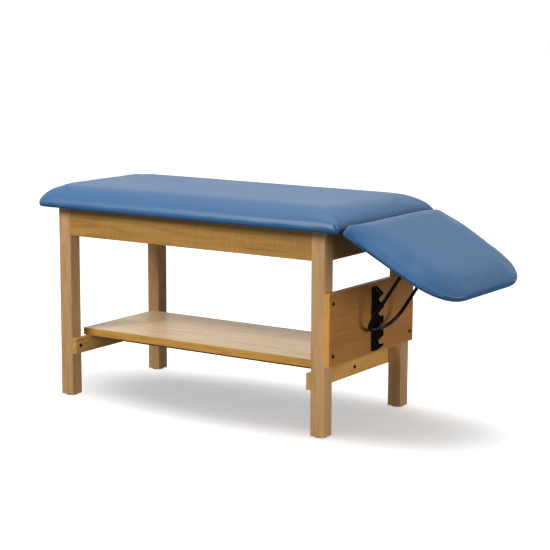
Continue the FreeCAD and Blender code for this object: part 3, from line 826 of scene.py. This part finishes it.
def cross_points(radius, width, z):
    """The twenty-four points of a cross recess."""
    arm = [(radius, -width), (radius, 0), (radius, width), (radius * 0.6, width), (width * 1.3, width * 1.05),
           (width, width * 1.4)]
    points = []
    for turn in range(4):
        c, s = math.cos(math.pi / 2 * turn), math.sin(math.pi / 2 * turn)
        points += [Vector((x * c - y * s, x * s + y * c, z)) for x, y in arm]
    return points


def fastener(name, radius, height, recess, depth, shank_radius, shank_length):
    """A domed head with a driven recess over a shank, head up along +Z and seated at z = 0."""
    rings = [ring_points(shank_radius, -shank_length), ring_points(shank_radius, 0), ring_points(radius, 0),
             ring_points(radius, height * 0.3)]
    for step in range(1, 5):
        turn = math.pi / 2 * step / 5
        rings.append(ring_points(radius * (0.45 + 0.55 * math.cos(turn)),
                                 height * (0.3 + 0.7 * math.sin(turn))))
    top = rings[-1][0].z
    for share, sunk in ((1.0, 0), (0.82, depth)):
        rings.append([Vector((p.x, p.y, top - sunk)) for p in recess(share)])
    return smooth(mesh_from(name, *bridge(rings)), 35)


def screw(name, length):
    """A wood screw with a cross recess."""
    sizes = bpy.context.scene.table_hardware
    cross = lambda share: cross_points(sizes.screw_radius * 0.5 * share, sizes.screw_radius * 0.11, 0)
    return fastener(name, sizes.screw_radius, sizes.screw_height, cross, 1.2 * MM, 2 * MM, length)


def staple(name):
    """A staple's crown and the bends of its legs, driven along -Z."""
    half_crown, leg, wire = 5.2 * MM, 2 * MM, 0.55 * MM
    # Each place of the wire's middle, and the direction square to the wire there
    bends = (((-half_crown, leg), (1, 0)), ((-half_crown, 0), (0.7071, 0.7071)),
             ((half_crown, 0), (-0.7071, 0.7071)), ((half_crown, leg), (1, 0)))
    rings = []
    for (x, z), (square_x, square_z) in bends:
        rings.append([Vector((x + square_x * wire * s, wire * c, z + square_z * wire * s)) for c, s in
                      ((1, 0), (0.7, 0.7), (0, 1), (-0.7, 0.7), (-1, 0), (-0.7, -0.7), (0, -1), (0.7, -0.7))])
    mesh = smooth(mesh_from(name, *bridge(rings)), 60)
    mesh.transform(Matrix.Rotation(math.pi, 4, "X"))
    return mesh


def nut_and_washer(name):
    """A hanger bolt's end with its hexagon nut on a washer, up along +Z and seated at z = 0."""
    bolt = 4 * MM
    washer, nut = bolt * 2.6, bolt * 1.85
    rings = [ring_points(bolt, -6 * MM), ring_points(bolt, 0),
             ring_points(washer, 0), ring_points(washer, 1.6 * MM), ring_points(nut * 0.95, 1.6 * MM),
             hexagon_points(nut, 2.0 * MM), hexagon_points(nut, 7.4 * MM), ring_points(nut * 0.84, 8.0 * MM),
             ring_points(bolt, 8.0 * MM), ring_points(bolt, 13 * MM), ring_points(bolt * 0.8, 14 * MM)]
    return smooth(mesh_from(name, *bridge(rings)), 30)


def place_tree(name, material, axis):
    """A tree that puts a template on every point, with its axis along the point's direction."""
    tree = bpy.data.node_groups.new(name, "GeometryNodeTree")
    for socket, kind in (("Places", "Geometry"), ("Fastener", "Object"), ("Turn", "Float")):
        tree.interface.new_socket(socket, in_out="INPUT", socket_type="NodeSocket" + kind)
    tree.interface.new_socket("Geometry", in_out="OUTPUT", socket_type="NodeSocketGeometry")
    start = add(tree, "NodeGroupInput")
    direction = add(tree, "GeometryNodeInputNamedAttribute", {"Name": "direction"}, data_type="FLOAT_VECTOR")
    aimed = add(tree, "FunctionNodeAlignRotationToVector", (), {"Vector": direction.outputs["Attribute"]},
                axis=axis)
    chance = add(tree, "FunctionNodeRandomValue", {"Seed": 7}, data_type="FLOAT")
    turned = add(tree, "ShaderNodeMath", (), {0: chance.outputs[1], 1: start.outputs["Turn"]},
                 operation="MULTIPLY")
    spin = add(tree, "ShaderNodeCombineXYZ", (), {"Z": turned.outputs[0]})
    whole = add(tree, "FunctionNodeRotateRotation", (),
                {"Rotation": aimed.outputs["Rotation"], "Rotate By": spin.outputs[0]}, rotation_space="LOCAL")
    shown = add(tree, "GeometryNodeObjectInfo", (), {"Object": start.outputs["Fastener"]})
    put = add(tree, "GeometryNodeInstanceOnPoints", (),
              {"Points": start.outputs["Places"], "Instance": shown.outputs["Geometry"],
               "Rotation": whole.outputs["Rotation"]})
    real = add(tree, "GeometryNodeRealizeInstances", (), {"Geometry": put.outputs["Instances"]})
    painted = add(tree, "GeometryNodeSetMaterial", {"Material": finish(material)},
                  {"Geometry": real.outputs["Geometry"]})
    add(tree, "NodeGroupOutput", (), {"Geometry": painted.outputs["Geometry"]})
    return tree


def scatter(name, template_mesh, places, material, body, turn=6.283, axis="Z"):
    """Put a template at every place and direction, turned by chance up to an angle, as one piece."""
    template = bpy.data.objects.new(name + "_template", template_mesh)
    points = bpy.data.meshes.new(name + "_places")
    points.from_pydata([tuple(p) for p, _ in places], [], [])
    made = bpy.data.objects.new(name, points)
    for item in (template, made):
        bpy.context.scene.collection.objects.link(item)
    direction = points.attributes.new("direction", "FLOAT_VECTOR", "POINT")
    direction.data.foreach_set("vector", [c for _, d in places for c in d])
    modifier = made.modifiers.new("places", "NODES")
    modifier.node_group = place_tree(name + "_tree", material, axis)
    sockets = {item.name: item.identifier for item in modifier.node_group.interface.items_tree
               if item.in_out == "INPUT"}
    modifier[sockets["Fastener"]] = template
    modifier[sockets["Turn"]] = turn
    bake(made)
    bpy.data.objects.remove(template)
    made.data.materials.clear()
    made.data.materials.append(finish(material))
    if body == HEAD:
        made.data.transform(SEATED)
    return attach(made, body)


def zinc_screws(name, length, places, body):
    """Zinc-plated wood screws at every place, as one piece."""
    scatter(name, screw(name, length), places, "zinc_plated_steel", body)


def bolt_places(node):
    """Seat, direction and length of each bolt in a CAD node, from its separate solids."""
    shape = bmesh.new()
    shape.from_mesh(NODES[node].data)
    bmesh.ops.remove_doubles(shape, verts=shape.verts, dist=0.01 * MM)
    shape.verts.index_update()
    places, seen = [], set()
    for first in shape.verts:
        stack, island = [first], []
        while stack:
            vert = stack.pop()
            if vert.index not in seen:
                seen.add(vert.index)
                island.append(vert.co.copy())
                stack += [edge.other_vert(vert) for edge in vert.link_edges]
        if not island:
            continue
        island = np.array(island)
        low, high = island.min(0), island.max(0)
        middle = (low + high) / 2
        # Only the head is wider than the shank
        head = [p for p in island if math.hypot(p[1] - middle[1], p[2] - middle[2]) > 6 * MM]
        xs = sorted({round(float(p[0]), 5) for p in head})
        sign = 1 if abs(xs[-1] - high[0]) < 1e-4 else -1
        seat = xs[0] if sign > 0 else xs[-1]
        places.append((Vector((seat, middle[1], middle[2])), Vector((sign, 0, 0)), float(high[0] - low[0])))
    shape.free()
    return places


class MakeFasteners(bpy.types.Operator):
    """Put bolts, screws and nuts where the table has them"""
    bl_idname = "treatment_table.fasteners"
    bl_label = "Fasteners"

    def execute(self, context):
        self.frame_bolts(context.scene.table_hardware)
        self.head_section_screws()
        self.under_the_deck()
        low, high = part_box("ratchet")
        places = [(Vector((low.x + 3 * MM, 0, z)), Vector((1, 0, 0)))
                  for z in (low.z + 26 * MM, (low.z + high.z) / 2 + 25 * MM, high.z - 26 * MM)]
        scatter("ratchet_screws", screw("ratchet_screws", 8 * MM), places, "black_oxide_steel", ROOT)
        return {"FINISHED"}

    def frame_bolts(self, sizes):
        """Button-head bolts with a hexagon recess, over the shanks of the CAD bolts."""
        hexagon = lambda share: hexagon_points(sizes.bolt_radius * 0.40 * share, 0)
        for node in ("panel_bolts", "stretcher_bolts", "brace_bolts"):
            found = bolt_places(node)
            length = found[0][2] - sizes.bolt_height
            mesh = fastener(node, sizes.bolt_radius, sizes.bolt_height, hexagon, 2 * MM, 4 * MM, length)
            seats = [(seat, direction) for seat, direction, _ in found]
            made = scatter(node + "_button_head", mesh, seats, "black_oxide_steel", ROOT)
            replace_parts(made, node)

    def head_section_screws(self):
        """Three screws in each hinge leaf and two in each pivot ear, all from below."""
        leaf_holes = ((21 * MM, -30 * MM), (21 * MM, 30 * MM), (40 * MM, 0))
        leaf_face, ear_face = DECK - 2.5 * MM, DECK - 3 * MM
        for name, body, end in (("hinge_screws_main", ROOT, -1), ("hinge_screws_head", HEAD, 1)):
            places = [(Vector((HINGE.x + end * x, sign * HINGE_REACH + y, leaf_face)), DOWN)
                      for sign in (-1, 1) for x, y in leaf_holes]
            zinc_screws(name, 6 * MM, places, body)
        ear_low, ear_high = level_box("pivot_ear_far")
        middle = (ear_low.x + ear_high.x) / 2
        places = [(Vector((middle + along, sign * (ear_low.y + 22 * MM), ear_face)), DOWN)
                  for sign in (-1, 1) for along in (-12 * MM, 12 * MM)]
        zinc_screws("ear_screws", 6 * MM, places, HEAD)

    def under_the_deck(self):
        """Nuts of the corner blocks' hanger bolts, the blocks' screws, and the shelf's screws from below."""
        nuts, screws = [], []
        for end, inward_x in (("foot", 1), ("head", -1)):
            for side, inward_y in (("near", 1), ("far", -1)):
                # The middle of the block's box lies on its inner face
                low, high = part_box("corner_block_%s_%s" % (end, side))
                seat = (low + high) / 2
                inward = Vector((inward_x, inward_y, 0)).normalized()
                nuts.append((seat, inward))
                across = Vector((-inward.y, inward.x, 0))
                screws.append((seat + across * 30 * MM + Vector((0, 0, 12 * MM)), inward))
        nut = nut_and_washer("hanger_bolt_nuts")
        scatter("hanger_bolt_nuts", nut, nuts, "zinc_plated_steel", ROOT, 1.0)
        zinc_screws("corner_block_screws", 6 * MM, screws, ROOT)
        low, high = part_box("shelf_board")
        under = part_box("centre_brace")[0].z
        places = [(Vector((low.x + (high.x - low.x) * share, 0, under)), DOWN)
                  for share in (0.12, 0.31, 0.5, 0.69, 0.88)]
        zinc_screws("shelf_screws", 6 * MM, places, ROOT)


class MakeStaples(bpy.types.Operator):
    """Drive staples along the hems under both boards"""
    bl_idname = "treatment_table.staples"
    bl_label = "Staples"

    def execute(self, context):
        settings = context.scene.table_upholstery
        for name, body, pad in (("main_staples", ROOT, main_pad()), ("head_staples", HEAD, head_pad())):
            ring = pad.ring(5 * MM + settings.hem_width * 0.55)
            places = self.along(ring, settings.staple_spacing, pad.split)
            wire = staple(name + "_wire")
            scatter(name, wire, places, "staple_wire", body, 0.0, "X")
        return {"FINISHED"}

    def along(self, ring, spacing, split):
        """Places and directions along a ring, each a little askew, with room left for the hinges."""
        room, height = 60 * MM, DECK - 1.0 * MM
        chance = np.random.default_rng(5)
        places, travelled, due = [], 0.0, spacing / 2
        for start, end in zip(ring, ring[1:] + ring[:1]):
            length = (end - start).length
            while due < travelled + length:
                spot = start.lerp(end, (due - travelled) / max(length, 1e-9))
                if abs(spot.x - split) >= room or abs(abs(spot.y) - HINGE_REACH) >= room:
                    aim = (end - start).normalized()
                    turn = chance.normal() * 0.12
                    c, s = math.cos(turn), math.sin(turn)
                    places.append((Vector((spot.x, spot.y, height)),
                                   Vector((aim.x * c - aim.y * s, aim.x * s + aim.y * c, 0))))
                due += spacing
            travelled += length
        return places


class MakeRetainers(bpy.types.Operator):
    """Push a ring on each stub of the bail outside its ear"""
    bl_idname = "treatment_table.retainers"
    bl_label = "Retainers"

    def execute(self, context):
        # Radius and place along the stub of the pressed ring's section, in millimetres
        section = ((6.4, 0.4), (7.6, 0.0), (10.0, 0.2), (10.6, 0.7), (10.6, 1.1), (10.0, 1.5), (7.6, 1.7),
                   (6.4, 1.3))
        steps, size = 36, len(section)
        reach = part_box("pivot_ear_far")[0].y + 4 * MM
        for name, sign in (("retainer_near", -1), ("retainer_far", 1)):
            points, faces = [], []
            for i in range(steps):
                turn = 2 * math.pi * i / steps
                onward = (i + 1) % steps
                for j, (r, y) in enumerate(section):
                    points.append((PIVOT.x + r * MM * math.cos(turn), sign * (reach + (0.4 + y) * MM),
                                   PIVOT.z + r * MM * math.sin(turn)))
                    k = (j + 1) % size
                    faces.append((i * size + j, i * size + k, onward * size + k, onward * size + j))
            made = new_object(name, smooth(mesh_from(name, points, faces), 40), "zinc_plated_steel")
            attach(made, PROP)
        return {"FINISHED"}


# Wood and steel

class FinishWood(bpy.types.Operator):
    """Lacquer the maple, and lay the woodgrain laminate on the boards"""
    bl_idname = "treatment_table.wood"
    bl_label = "Wood"

    def execute(self, context):
        dress("maple_upright", *["%s_%s_%s" % (kind, end, side) for kind in ("leg", "corner_block")
                                 for end in ("foot", "head") for side in ("near", "far")])
        dress("golden_birch_crosswise", "stretcher_foot", "stretcher_head")
        dress("golden_birch_lengthwise", "centre_brace")
        dress("laminate_lengthwise", "side_rail_near", "side_rail_far")
        dress("laminate_crosswise", "end_rail_foot", "end_rail_head")
        dress("panel_laminate", "end_panel")
        dress("shelf_laminate", "shelf_board")
        dress("edge_band", "shelf_band_near", "shelf_band_far")
        dress("edge_band_crosswise", "shelf_band_foot", "shelf_band_head", "panel_band_top",
              "panel_band_bottom")
        dress("edge_band_upright", "panel_band_near", "panel_band_far")
        dress("birch_plywood", "main_board", "head_board")
        return {"FINISHED"}


class FinishSteel(bpy.types.Operator):
    """Coat the ratchet, bail, ears, hinges and glides"""
    bl_idname = "treatment_table.steel"
    bl_label = "Steel"

    def execute(self, context):
        dress("black_powder_coat", "ratchet", "prop_bail", "pivot_ear_near", "pivot_ear_far")
        dress("zinc_plated_steel", *[kind + side for kind in ("hinge_leaf_main_", "hinge_leaf_head_",
                                                              "hinge_pin_") for side in ("near", "far")])
        dress("nylon_glide", "leg_glides")
        return {"FINISHED"}


# Stage

def studio_floor():
    """A matt white floor, clear from below, with a painted glow that only the camera sees: it turns the floor
    white away from the table, so that shade shows only close under it.
    """
    material, tree = new_material("studio_floor")
    seen = add(tree, "ShaderNodeLightPath").outputs["Is Camera Ray"]
    place = add(tree, "ShaderNodeTexCoord").outputs["Object"]
    # Painted light: the glow grows with the distance from the middle, which counts less along the table than
    # across it, so that the floor's shade keeps to an oval under the table
    shape = add(tree, "ShaderNodeMapping", {"Scale": (0.62, 1.6, 1.0)}, {"Vector": place}).outputs["Vector"]
    away = add(tree, "ShaderNodeVectorMath", (), {0: shape}, operation="LENGTH")
    glow = add(tree, "ShaderNodeMapRange",
               {"From Min": 0.33, "From Max": 0.85, "To Min": 0.42, "To Max": 1.0},
               {"Value": away.outputs["Value"]}, interpolation_type="SMOOTHSTEP")
    strength = add(tree, "ShaderNodeMath", (), {0: seen, 1: glow.outputs[0]}, operation="MULTIPLY")
    tone = add(tree, "ShaderNodeMix", {6: grey(0.24), 7: grey(0.95)}, {0: seen}, data_type="RGBA")
    matt = add(tree, "ShaderNodeBsdfDiffuse", (), {"Color": tone.outputs[2]})
    lit = add(tree, "ShaderNodeEmission", {"Color": grey(1.0)}, {"Strength": strength.outputs[0]})
    both = add(tree, "ShaderNodeAddShader", (), {0: matt.outputs[0], 1: lit.outputs[0]})
    clear = add(tree, "ShaderNodeBsdfTransparent")
    behind = add(tree, "ShaderNodeNewGeometry").outputs["Backfacing"]
    shown = add(tree, "ShaderNodeMixShader", (), {0: behind, 1: both.outputs[0], 2: clear.outputs[0]})
    add(tree, "ShaderNodeOutputMaterial", (), {"Surface": shown.outputs[0]})
    return material


def studio_world(ambient):
    """Even light from the room, which the camera, gloss and glass see as white."""
    world = bpy.data.worlds.new("studio")
    world.use_nodes = True
    tree = world.node_tree
    tree.nodes.clear()
    path = add(tree, "ShaderNodeLightPath").outputs
    seen = path["Is Camera Ray"]
    for ray in ("Is Glossy Ray", "Is Transmission Ray"):
        seen = add(tree, "ShaderNodeMath", (), {0: seen, 1: path[ray]}, operation="MAXIMUM").outputs[0]
    room = add(tree, "ShaderNodeBackground", {"Color": grey(1.0), "Strength": ambient})
    white = add(tree, "ShaderNodeBackground", {"Color": grey(1.0), "Strength": 1.0})
    both = add(tree, "ShaderNodeMixShader", (), {0: seen, 1: room.outputs[0], 2: white.outputs[0]})
    add(tree, "ShaderNodeOutputWorld", (), {"Surface": both.outputs[0]})
    return world


def photo_camera(lens):
    """A camera that looks at the table as the photograph does."""
    data = bpy.data.cameras.new("camera")
    data.lens, data.sensor_width, data.clip_end = lens, 36, 100
    camera = bpy.data.objects.new("camera", data)
    place = Vector((HINGE.x + 2.895, -5.114, 1.524))
    yaw, pitch, roll = (math.radians(angle) for angle in (-33.46, -9.52, 0.20))
    forward = Vector((math.cos(pitch) * math.sin(yaw), math.cos(pitch) * math.cos(yaw), math.sin(pitch)))
    right = Vector((math.cos(yaw), -math.sin(yaw), 0))
    up = right.cross(forward)
    across = right * math.cos(roll) + up * math.sin(roll)
    above = up * math.cos(roll) - right * math.sin(roll)
    rows = [(across[i], above[i], -forward[i], place[i]) for i in range(3)]
    camera.matrix_world = Matrix((*rows, (0, 0, 0, 1)))
    return camera


def softbox(name, place, target, size, power):
    """An area light that looks at a point."""
    data = bpy.data.lights.new(name, "AREA")
    data.shape = "RECTANGLE"
    data.size, data.size_y = size
    data.energy = power
    made = bpy.data.objects.new(name, data)
    made.location = place
    made.rotation_euler = (Vector(target) - Vector(place)).to_track_quat("-Z", "Y").to_euler()
    bpy.context.scene.collection.objects.link(made)
    return made


class MakeStage(bpy.types.Operator):
    """Set the camera, the floor and the soft studio light"""
    bl_idname = "treatment_table.stage"
    bl_label = "Stage"

    def execute(self, context):
        scene = context.scene
        settings = scene.table_stage
        camera = photo_camera(settings.lens)
        scene.collection.objects.link(camera)
        scene.camera = camera
        scene.view_settings.view_transform = "Standard"
        mesh = mesh_from("floor", [(-30, -30, 0), (30, -30, 0), (30, 30, 0), (-30, 30, 0)], [(0, 1, 2, 3)])
        floor = bpy.data.objects.new("floor", mesh)
        floor.data.materials.append(studio_floor())
        scene.collection.objects.link(floor)
        # Place, point that it looks at, width and height, all in metres
        softbox("top_softbox", (-0.1, 0.1, 3.4), (-0.1, 0.1, 0), (3.0, 2.2), settings.top)
        front = softbox("front_softbox", (-1.65, -3.6, 3.4), (0, 0, 0.5), (2.2, 1.8), settings.front)
        side = softbox("side_softbox", (4.6, -1.3, 0.95), (0, 0, 0.5), (2.0, 1.6), settings.side)
        # These two only fill the table, so that the floor shows the shadow from above
        kept_off = bpy.data.collections.new("kept_off_fill_lights")
        kept_off.objects.link(floor)
        for light in (front, side):
            light.light_linking.receiver_collection = kept_off
        kept_off.collection_objects[0].light_linking.link_state = "EXCLUDE"
        scene.world = studio_world(settings.ambient)
        return {"FINISHED"}


class TablePanel(bpy.types.Panel):
    """The steps that dress the table"""
    bl_idname = "VIEW3D_PT_treatment_table"
    bl_label = "Treatment Table"
    bl_space_type = "VIEW_3D"
    bl_region_type = "UI"
    bl_category = "Treatment Table"

    def draw(self, context):
        for step in STEPS:
            self.layout.operator(step.bl_idname)
        for group in GROUPS:
            settings = getattr(context.scene, group)
            box = self.layout.box()
            for field in settings.bl_rna.properties.keys():
                if field not in ("rna_type", "name"):
                    box.prop(settings, field)


STEPS = (MakeStage, MakeUpholstery, FinishWood, FinishSteel, MakeFasteners, MakeStaples, MakeRetainers)
GROUPS = {"table_upholstery": UpholsterySettings, "table_wood": WoodSettings,
          "table_hardware": HardwareSettings, "table_stage": StageSettings}
CLASSES = (*GROUPS.values(), *STEPS, TablePanel)


def register():
    """Register the settings, the steps and the panel."""
    for made in CLASSES:
        bpy.utils.register_class(made)
    for name, group in GROUPS.items():
        setattr(bpy.types.Scene, name, bpy.props.PointerProperty(type=group))


def unregister():
    """Remove them again."""
    for name in GROUPS:
        delattr(bpy.types.Scene, name)
    for made in reversed(CLASSES):
        bpy.utils.unregister_class(made)


def main():
    """Dress the table."""
    register()
    for step in STEPS:
        category, name = step.bl_idname.split(".")
        getattr(getattr(bpy.ops, category), name)()


if __name__ == "__main__":
    main()
